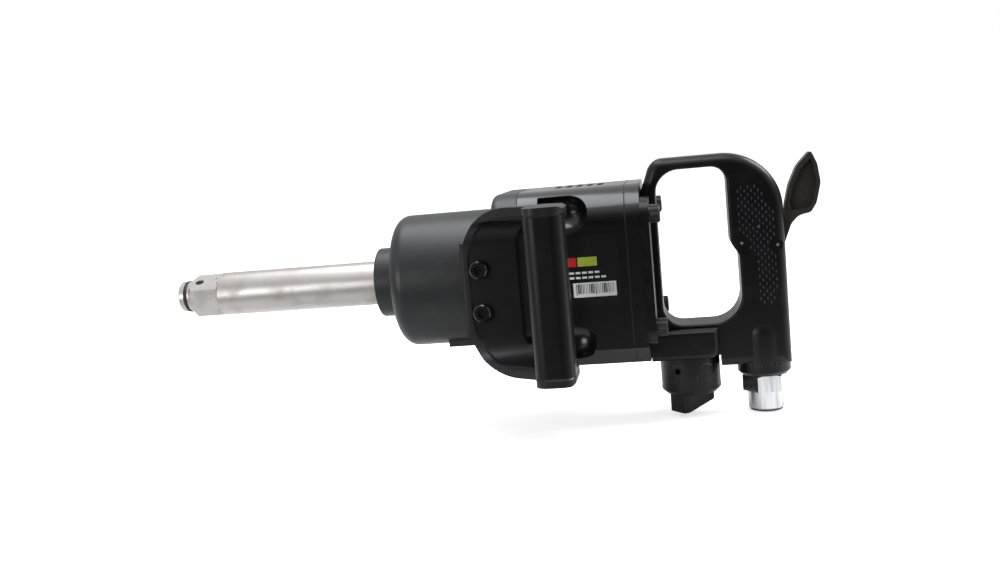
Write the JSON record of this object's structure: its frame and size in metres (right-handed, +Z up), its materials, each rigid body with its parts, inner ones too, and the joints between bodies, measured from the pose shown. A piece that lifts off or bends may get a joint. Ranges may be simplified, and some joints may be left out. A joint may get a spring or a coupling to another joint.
{
  "type": "air impact wrench",
  "caption": "Straight air impact wrench with a long anvil and square drive, rear D-handle with paddle throttle, reverse knob, air inlet and a swept side handle.",
  "frame": {"origin": "centre of the square drive's cross hole, on the spindle axis", "axes": "+X along the spindle from the square drive towards the D-handle, +Z up, the side handle is at -Y"},
  "size_m": [0.5158, 0.1928, 0.1982],
  "materials": {
    "case_paint": "satin black paint on steel",
    "gloss_paint": "gloss black enamel on cast aluminium",
    "handle_paint": "satin black paint on cast aluminium",
    "bright_steel": "ground steel",
    "steel": "machined steel",
    "black_oxide": "black oxide",
    "chrome": "polished chrome",
    "bronze": "bronze",
    "rubber": "matt",
    "gasket_paper": "pressed fibre",
    "vane_plastic": "laminated phenolic",
    "felt": "pressed felt",
    "knob_black": "satin brown-black",
    "label_film": "glossy printed film"
  },
  "bodies": {
    "tool": {"hammer_case": "case_paint", "anvil_bushing": "bronze", "nose_seal": "rubber", "cylinder_liner": "steel", "front_end_plate": "steel", "rear_end_plate": "steel", "front_bearing": "steel", "rear_bearing": "steel", "dowel_pin": "steel", "motor_housing": "gloss_paint", "exhaust_silencer": "felt", "front_gasket": "gasket_paper", "rear_gasket": "gasket_paper", "back_plate": "gloss_paint", "case_bolts": "black_oxide", "handle_bolts": "black_oxide", "d_handle": "handle_paint", "lever_pin": "bright_steel", "cross_pin": "bright_steel", "lock_pin": "bronze", "inlet_bushing": "chrome", "inlet_seal": "rubber", "inlet_screen": "bronze", "valve_seat": "bronze", "stem_bushing": "bronze", "valve_spring": "steel", "side_handle": "handle_paint", "side_handle_screws": "black_oxide", "label": "label_film"},
    "anvil": {"anvil": "bright_steel", "socket_ring": "rubber"},
    "rotor": {"rotor": "steel", "rotor_vanes": "vane_plastic", "hammer_cage": "steel", "front_hammer": "steel", "rear_hammer": "steel", "hammer_pins": "steel"},
    "lever": {"throttle_lever": "handle_paint"},
    "throttle_valve": {"throttle_valve": "steel"},
    "reverse": {"reverse_valve": "steel", "reverse_knob": "knob_black", "knob_screw": "black_oxide", "detent_ball": "steel", "detent_spring": "steel"}
  },
  "joints": [
    {"name": "anvil_spin", "type": "hinge", "parent": "tool", "child": "anvil", "pos_m": [0.1, 0, 0], "axis": [-1, 0, 0], "continuous": true},
    {"name": "rotor_spin", "type": "hinge", "parent": "tool", "child": "rotor", "pos_m": [0.3, 0, 0], "axis": [-1, 0, 0], "continuous": true},
    {"name": "throttle_squeeze", "type": "hinge", "parent": "tool", "child": "lever", "pos_m": [0.464, 0, 0.009], "axis": [0, -1, 0], "range_deg": [0, 10], "stiffness_Nm_per_rad": 1.5, "springref_deg": -17.19},
    {"name": "throttle_valve_open", "type": "slide", "parent": "tool", "child": "throttle_valve", "axis": [0, 0, -1], "range_m": [0, 0.0028], "deforming": ["valve_spring"]},
    {"name": "reverse_turn", "type": "hinge", "parent": "tool", "child": "reverse", "pos_m": [0.394, 0, -0.08], "axis": [0, 0, 1], "range_deg": [-70, 20]}
  ],
  "couplings": [
    {"joint": "throttle_valve_open", "follows": "throttle_squeeze", "m_per_rad": 0.0155}
  ]
}
